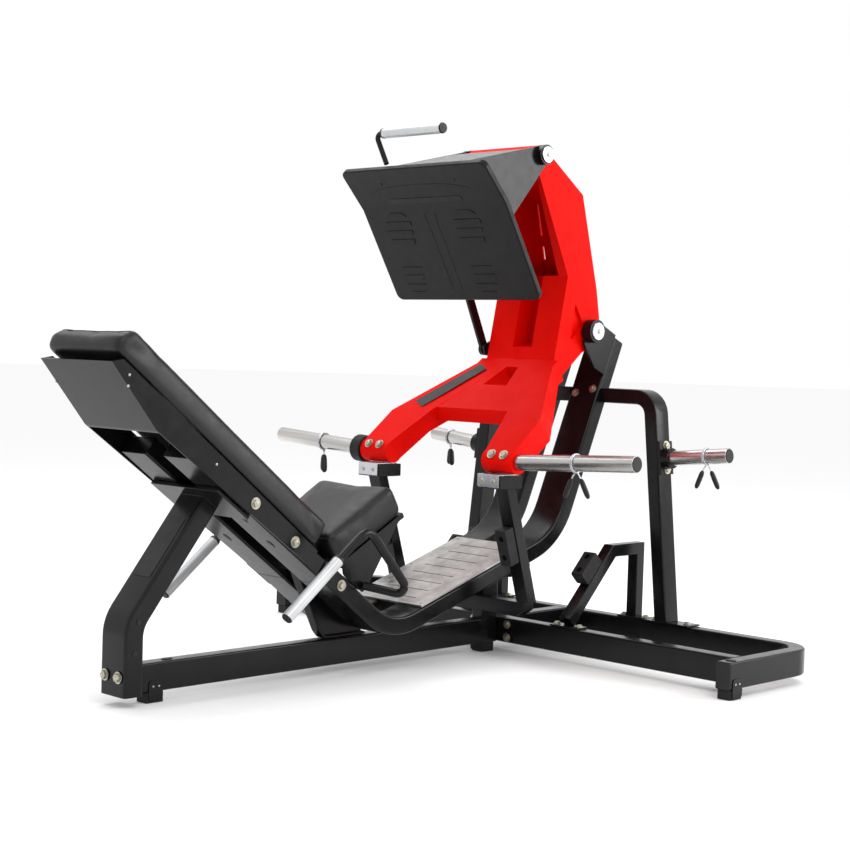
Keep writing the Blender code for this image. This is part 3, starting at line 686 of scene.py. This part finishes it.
def seam(name, piece, origin, slope, s0, s1, half, t, radius=0.0016):
    tree = BVHTree.FromObject(piece, bpy.context.evaluated_depsgraph_get())
    corners = [(s0, -half), (s1, -half), (s1, half), (s0, half)]
    points = []
    for i, (s, y) in enumerate(corners):
        s_next, y_next = corners[(i + 1) % 4]
        steps = max(2, int(math.hypot(s_next - s, y_next - y) / 0.012))
        points += [tilted(origin, slope, s + (s_next - s) * k / steps, t,
                          y + (y_next - y) * k / steps) for k in range(steps)]
    laid = [tree.find_nearest(p)[0] for p in points]
    for _ in range(3):
        laid = [(laid[i - 1] + laid[i] * 2 + laid[(i + 1) % len(laid)]) / 4
                for i in range(len(laid))]
    kit = bmesh.new()
    wire(kit, laid, radius, closed=True)
    bmesh.ops.remove_doubles(kit, verts=kit.verts, dist=0.000001)
    bmesh.ops.recalc_face_normals(kit, faces=kit.faces)
    for face in kit.faces:
        face.smooth = True
    return new_piece(name, kit, "thread", "frame")


seam("backrest_welt", back, (-0.1010, 0.9470), PAN_SLOPE,
     -0.050, 0.890, 0.180, 0.090)
seam("seat_welt", seat, (0.7040, 0.3640), SEAT_SLOPE,
     -0.045, 0.295, 0.180, 0.106)
print("cushions sewn")

# %% [markdown]
# ## Footplate
# The footplate is one moulded sheet folded once. Its corners are rounded first, across the
# thickness, and then all its edges. Low bands in the shape of two soles stand on its face.

# %% Footplate sheet
kit = merged_copy("footplate")
corners = [e for e in kit.edges
           if all(abs(v.co.y) > 0.31 for v in e.verts)
           and e.calc_length() < 0.03
           and abs(e.verts[0].co.y - e.verts[1].co.y) < 0.001
           and not all(1.40 < v.co.z < 1.50 for v in e.verts)]
bmesh.ops.bevel(kit, geom=corners, offset=0.024, offset_type="OFFSET", affect="EDGES",
                segments=7, profile=0.5, clamp_overlap=True, material=-1)
refine("footplate", "moulded", 0.0045, 4, 30, kit)

LOW_FACE, FOLD, HIGH_FACE = (1.3620, 1.1580), (1.1840, 1.4450), (1.0750, 1.5590)
LOWER = math.atan2(LOW_FACE[1] - FOLD[1], LOW_FACE[0] - FOLD[0])
UPPER = math.atan2(FOLD[1] - HIGH_FACE[1], FOLD[0] - HIGH_FACE[0])


def lower_face(s, y, lift=0.0):
    """s down from the fold, lift towards the feet."""
    return tilted(FOLD, LOWER, s, -lift, y)


def upper_face(s, y, lift=0.0):
    """s up from the fold."""
    return tilted(FOLD, UPPER, -s, -lift, y)


def raised(kit, points, lift):
    """A low pad from its outline, its top edge eased."""
    face = kit.faces.new([kit.verts.new(p) for p in points])
    top = bmesh.ops.extrude_face_region(kit, geom=[face])["geom"]
    verts = [g for g in top if isinstance(g, bmesh.types.BMVert)]
    bmesh.ops.translate(kit, vec=lift, verts=verts)
    upper = [g for g in top if isinstance(g, bmesh.types.BMFace)]
    bmesh.ops.inset_region(kit, faces=upper, thickness=0.0006, depth=0.0004)


def sole_half(s):
    """Half width of a sole at s below the fold: round toe, waist, round heel."""
    if s < 0.060:
        return 0.058 * math.sqrt(max(0.0, 1 - ((0.060 - s) / 0.050) ** 2))
    if s < 0.230:
        return 0.058 - 0.014 * math.sin((s - 0.060) / 0.170 * math.pi / 2)
    return 0.044 * math.sqrt(max(0.0, 1 - ((s - 0.262) / 0.058) ** 2)) if s > 0.262 else 0.044


kit = bmesh.new()
up_low = lower_face(0, 0, 0.0012) - lower_face(0, 0)
for middle, lean in ((0.170, 0.10), (-0.132, 0.06)):
    for s0, s1 in ((0.014, 0.030), (0.046, 0.062), (0.078, 0.094), (0.110, 0.130)):
        edge = []
        for sign in (1, -1):
            steps = [s0 + (s1 - s0) * k / 4 for k in range(5)]
            for s in steps if sign > 0 else reversed(steps):
                edge.append(lower_face(s, middle + lean * s + sign * sole_half(s)))
        raised(kit, edge, up_low)
    for s in (0.212, 0.242, 0.276, 0.304):
        half = sole_half(s)
        rib = ((s, half), (s + 0.003, half), (s + 0.003, -half), (s, -half))
        raised(kit, [lower_face(a, middle + lean * s + b) for a, b in rib], up_low)
bmesh.ops.recalc_face_normals(kit, faces=kit.faces)
bar_s, bar_y, bar_half, bar_r = 0.030, 0.010, 0.150, 0.010
outline = [upper_face(bar_s + bar_r * math.sin(a), bar_y + way * bar_half + bar_r * math.cos(a))
           for way in (1, -1)
           for a in [way * math.pi / 2 - math.pi * k / 8 for k in range(9)]]
raised(kit, outline, upper_face(0, 0, 0.0009) - upper_face(0, 0))
bmesh.ops.recalc_face_normals(kit, faces=kit.faces)
for face in kit.faces:
    face.smooth = True
even_light(new_piece("sole_marks", kit, "moulded", "footplate"))

kit = bmesh.new()
arc = [upper_face(0.062 + 0.030 * math.cos(a), 0.010 + 0.215 * math.sin(a), 0.0001)
       for a in [(k / 16 - 1) * math.pi / 2 for k in range(33)]]
wire(kit, arc, 0.0008)
for side in (1, -1):
    line = [lower_face(s, 0.02 + side * (0.020 + 0.12 * max(0, 0.06 - s)), 0.0001)
            for s in [0.020 + 0.010 * k for k in range(29)]]
    wire(kit, smooth_line(line, 1, False), 0.0007)
bmesh.ops.recalc_face_normals(kit, faces=kit.faces)
fit("moulding_lines", kit, "moulded", "footplate")

kit = bmesh.new()
for y in (0.160, -0.160):
    normal_low = lower_face(0, 0, 1) - lower_face(0, 0)
    normal_high = upper_face(0, 0, 1) - upper_face(0, 0)
    button_bolt(kit, lower_face(0.258, y), normal_low, 0.0048)
    button_bolt(kit, upper_face(0.100, y), normal_high, 0.0048)
fit("footplate_screws", kit, "plug", "footplate")
print("footplate moulded")

# %% [markdown]
# ## Tread plate
# A brushed stainless sheet with a row of slots pressed across it. The slots are pushed down
# out of a grid of faces, so the plate stays one sheet.

# %% Tread with pressed slots
TREAD = (1.0, 0.1595 + 0.028 / math.cos(TREAD_SLOPE))
kit = bmesh.new()
stops = [0.0405]
for k in range(8):
    stops += [0.080 + 0.058 * k, 0.0845 + 0.058 * k]
stops.append(0.5445)
rows = [-0.1535, -0.0900, 0.0900, 0.1535]
grid = [[kit.verts.new(tilted(TREAD, TREAD_SLOPE, s, 0.0062, y)) for y in rows] for s in stops]
slots, faces = [], []
for i in range(len(stops) - 1):
    for j in range(3):
        face = kit.faces.new((grid[i][j], grid[i + 1][j], grid[i + 1][j + 1], grid[i][j + 1]))
        faces.append(face)
        if i % 2 == 1 and j == 1:
            slots.append(face)
bmesh.ops.recalc_face_normals(kit, faces=kit.faces)
down = tilted((0, 0), TREAD_SLOPE, 0, -1) - at(0, 0, 0)
made = bmesh.ops.extrude_face_region(kit, geom=kit.faces[:], use_keep_orig=True)
low = [g for g in made["geom"] if isinstance(g, bmesh.types.BMVert)]
bmesh.ops.translate(kit, vec=down * 0.0055, verts=low)
bmesh.ops.recalc_face_normals(kit, faces=kit.faces)
slots = [f for f in slots if f.is_valid]
for face in bmesh.ops.extrude_discrete_faces(kit, faces=slots)["faces"]:
    bmesh.ops.translate(kit, vec=down * 0.0022, verts=face.verts)
bmesh.ops.remove_doubles(kit, verts=kit.verts, dist=0.00001)
bmesh.ops.recalc_face_normals(kit, faces=kit.faces)
smooth_sharp(kit, 25)
even_light(new_piece("tread_plate_finished", kit, "tread", "frame",
                     ("tread_plate",)))
kit = bmesh.new()
up = -down
for s in (0.055, 0.300, 0.530):
    for y in (-0.138, 0.138):
        button_bolt(kit, tilted(TREAD, TREAD_SLOPE, s, 0.0062, y), up, 0.0042)
fit("tread_screws", kit, "bolt", "frame")
print("tread slots", len(slots))

# %% [markdown]
# ## Horns, shafts and grips
# Turned parts keep their round section and get a small chamfer. Black caps close the horns,
# and silver caps with a centre bolt close the two shafts.

# %% Turned parts and their caps
for side in SIDES:
    refine("arm_horn_" + side, "horn", 0.0012)
    refine("storage_horn_" + side, "horn", 0.0012)
    refine("handle_grip_" + side, "grip", 0.0012)
    refine("stop_plate_" + side, "cap", 0.0006)
refine("footplate_grip", "grip", 0.0012)
refine("main_shaft", "cap", 0.0010)
refine("top_shaft", "cap", 0.0010)
refine("horn_buffer", "rubber", 0.0040, 3)
for name in [n for n in nodes if n.startswith("foot_")]:
    refine(name, "rubber", 0.0020, 2)

caps = {"frame": bmesh.new(), "arm": bmesh.new(), "footplate": bmesh.new()}
for kind, body in (("arm", "arm"), ("store", "frame")):
    for way in SIDES.values():
        start, end = [at(p[0], way * p[1], p[2]) for p in HORNS[kind]]
        disc(caps[body], end, end - start, 0.0235, 0.0022, 32, 0.93)
for way in SIDES.values():
    low, high = at(0.382, way * 0.277, 0.244), at(0.566, way * 0.279, 0.391)
    disc(caps["frame"], low, low - high, 0.0172, 0.0040, 28, 0.86)
    disc(caps["frame"], low + (low - high).normalized() * 0.004, low - high, 0.0060, 0.0006, 16)
    disc(caps["frame"], high, high - low, 0.0176, 0.0080, 28, 0.92)
disc(caps["footplate"], at(1.098, -0.120, 1.677), (0, -1, 0), 0.0172, 0.0060, 28, 0.90)
disc(caps["footplate"], at(1.098, -0.126, 1.677), (0, -1, 0), 0.0060, 0.0006, 16)
disc(caps["footplate"], at(1.098, 0.135, 1.677), (0, 1, 0), 0.0172, 0.0070, 28, 0.90)
fit("horn_and_grip_caps", caps["frame"], "plug", "frame")
fit("arm_horn_caps", caps["arm"], "plug", "arm")
fit("top_grip_caps", caps["footplate"], "plug", "footplate")

for name, centre, reach, radius, body, slot_name in (
        ("main_pivot_caps", PIVOT, 0.1982, 0.0300, "frame", "main_shaft"),
        ("top_pivot_caps", TOP, 0.1812, 0.0265, "arm", "top_shaft")):
    kit, heads = bmesh.new(), bmesh.new()
    for way in SIDES.values():
        disc(kit, at(centre[0], way * reach, centre[1]), (0, way, 0), radius, 0.0030, 40, 0.95)
        button_bolt(heads, at(centre[0], way * (reach + 0.0032), centre[1]), (0, way, 0), 0.0085)
    fit(name, kit, "cap", body)
    fit(name.replace("caps", "bolts"), heads, "bolt", body)
print("turned parts finished")

# %% [markdown]
# ## Rubber blocks with bolt holes
# The stops are thick rubber with sunk bolt holes. Each hole is cut by a boolean, then the
# block's edges are eased.


# %% Blocks with counterbores
def bored(node, holes, normal, radius, depth, width):
    """A softened copy of a rubber block with blind holes."""
    piece = refine(node, "rubber", width, 3)
    cutter_kit = bmesh.new()
    for point in holes:
        disc(cutter_kit, Vector(point) - Vector(normal).normalized() * depth, normal, radius,
             depth * 2, 28)
    bmesh.ops.recalc_face_normals(cutter_kit, faces=cutter_kit.faces)
    mesh = bpy.data.meshes.new(node + "_drill")
    cutter_kit.to_mesh(mesh)
    cutter_kit.free()
    drill = bpy.data.objects.new(node + "_drill", mesh)
    bpy.context.scene.collection.objects.link(drill)
    piece.modifiers.clear()
    cut = piece.modifiers.new("holes", "BOOLEAN")
    cut.operation, cut.solver, cut.object = "DIFFERENCE", "EXACT", drill
    bpy.context.view_layer.update()
    baked(piece)
    bpy.data.objects.remove(drill)
    return even_light(piece)


for side, way in SIDES.items():
    lean = math.atan2(0.5740 - 0.2065, 1.2590 - 1.3765)
    face = tilted((0, 0), lean, 0, 1) - at(0, 0, 0)
    bored("stop_rubber_" + side,
          [tilted((1.3565, 0.2065), lean, s, 0.0420, way * 0.285) for s in (0.168, 0.230)],
          face, 0.0095, 0.012, 0.0025)
    slope = math.atan2(0.3480 - 0.1285, 1.7720 - 1.5600)
    face = tilted((0, 0), slope, 0, 1) - at(0, 0, 0)
    bored("bumper_block_" + side,
          [tilted((1.5600, 0.1285), slope, s, 0.0740, way * 0.2985) for s in (0.160, 0.216)],
          face, 0.0100, 0.014, 0.0030)
print("blocks bored")

# %% [markdown]
# ## Spring collars
# A collar is one spring wire: just over two turns round the horn and two straight legs, each
# with a black grip. It replaces the plain packed ring and slides with its own body.

# %% Wind the collars
COLLARS = {"arm_left": ("arm", 1.0, 0.56), "arm_right": ("arm", -1.0, 0.56),
           "store_left": ("store", 1.0, 0.575), "store_right": ("store", -1.0, 0.575)}
for place, (kind, way, reach) in COLLARS.items():
    start, end = [at(p[0], way * p[1], p[2]) for p in HORNS[kind]]
    along = (end - start).normalized()
    centre = start + along * ((reach - HORNS[kind][0][1]) / abs(along.y))
    down = Vector((0, 0, -1))
    down = (down - along * down.dot(along)).normalized()
    across = along.cross(down)
    coil = []
    turns = 2.0
    for k in range(97):
        angle = 2 * math.pi * turns * k / 96
        spot = down * math.cos(angle) + across * math.sin(angle)
        coil.append(centre + spot * 0.0281 + along * (0.0052 * (2 * k / 96 - 1)))
    legs, grips = [], []
    for wing, (dx, lean) in {"a": (-0.010, -0.020), "b": (0.014, 0.024)}.items():
        top = centre + Vector((dx * 0.4, way * lean * 0.15, -0.026))
        low = centre + Vector((dx * 1.9, way * lean * 1.3, -0.105))
        legs.append([top.lerp(low, f) for f in (0.08, 0.2, 0.5)])
        grips.append((top.lerp(low, 0.24), low))
    kit = bmesh.new()
    wire(kit, smooth_line([legs[0][2], legs[0][1], *coil, legs[1][1], legs[1][2]], 1, False),
         0.0022)
    bmesh.ops.remove_doubles(kit, verts=kit.verts, dist=0.000001)
    bmesh.ops.recalc_face_normals(kit, faces=kit.faces)
    name = "spring_collar_" + place
    body = nodes[name]["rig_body"]
    smooth_sharp(kit)
    new_piece(name + "_wire", kit, "cap", body, (name,))
    kit = bmesh.new()
    for mid, low in grips:
        ball = bmesh.ops.create_uvsphere(kit, u_segments=20, v_segments=14, radius=1.0)["verts"]
        long = (low - mid).length / 2
        for vert in ball:
            z = vert.co.z
            vert.co.z = math.copysign(abs(z) ** 0.45, z) * long if z else 0.0
            vert.co.x *= 0.0105
            vert.co.y *= 0.0082
        bmesh.ops.transform(kit, matrix=facing((mid + low) / 2, low - mid), verts=ball)
    smooth_sharp(kit, 60)
    new_piece(name + "_grips", kit, "plug", body)
print("collars wound", len(COLLARS))

# %% [markdown]
# ## Check and finish
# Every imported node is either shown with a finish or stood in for.

shown = [n for n, o in nodes.items() if not o.hide_render]
print("packed nodes still shown:", shown)
